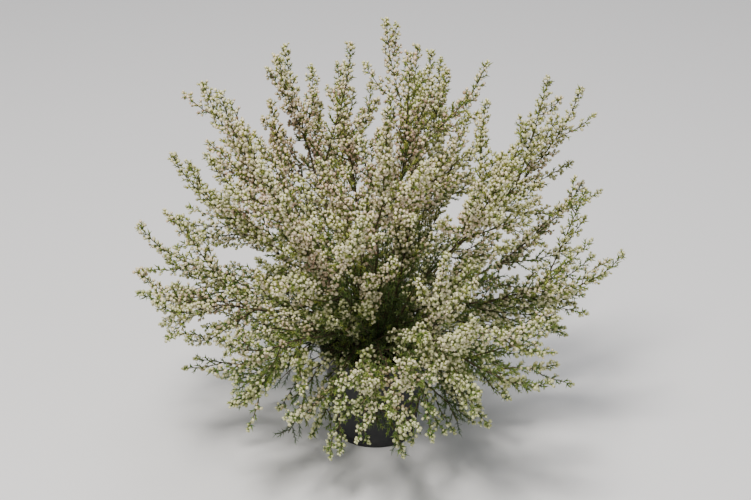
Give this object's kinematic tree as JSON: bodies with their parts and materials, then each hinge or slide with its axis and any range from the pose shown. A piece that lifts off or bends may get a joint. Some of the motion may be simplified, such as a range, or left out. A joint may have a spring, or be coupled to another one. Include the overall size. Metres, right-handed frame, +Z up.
{
  "type": "potted cape heath",
  "caption": "Bushy flowering cape heath in a round nursery pot: slender sprays of tiny cream and pale pink bells fan out and arch over the rim.",
  "frame": {"origin": "middle of the pot's foot, on the surface that the pot stands on", "axes": "+Z up through the middle of the pot; -Y towards the viewer of the picture"},
  "size_m": [0.5098, 0.5165, 0.4369],
  "materials": {
    "pot_plastic": "satin black polypropylene, slightly scuffed",
    "soil": null,
    "leafy_stem": "thin green to brown stems thick with short needle leaves",
    "flower": "soft, slightly see-through petals in cream and pale pink among yellow-green needles"
  },
  "bodies": {
    "root": {"nursery_pot": "pot_plastic", "potting_soil": "soil", "leafy_stems_1": "leafy_stem", "leafy_stems_2": "leafy_stem", "leafy_stems_3": "leafy_stem", "leafy_stems_4": "leafy_stem", "leafy_stems_5": "leafy_stem", "leafy_stems_6": "leafy_stem", "flower_spray_01": "flower", "flower_spray_02": "flower", "flower_spray_03": "flower", "flower_spray_04": "flower", "flower_spray_05": "flower", "flower_spray_06": "flower", "flower_spray_07": "flower", "flower_spray_08": "flower", "flower_spray_09": "flower", "flower_spray_10": "flower", "flower_spray_11": "flower", "flower_spray_12": "flower", "flower_spray_13": "flower", "flower_spray_14": "flower", "flower_spray_15": "flower", "flower_spray_16": "flower", "flower_spray_17": "flower", "flower_spray_18": "flower", "flower_spray_19": "flower", "flower_spray_20": "flower", "flower_spray_21": "flower", "flower_spray_22": "flower", "flower_spray_23": "flower", "flower_spray_24": "flower", "flower_spray_25": "flower", "flower_spray_26": "flower", "flower_spray_27": "flower", "flower_spray_28": "flower", "flower_spray_29": "flower", "flower_spray_30": "flower", "flower_spray_31": "flower", "flower_spray_32": "flower", "flower_spray_33": "flower", "flower_spray_34": "flower", "flower_spray_35": "flower", "flower_spray_36": "flower", "flower_spray_37": "flower", "flower_spray_38": "flower", "flower_spray_39": "flower"}
  },
  "joints": []
}
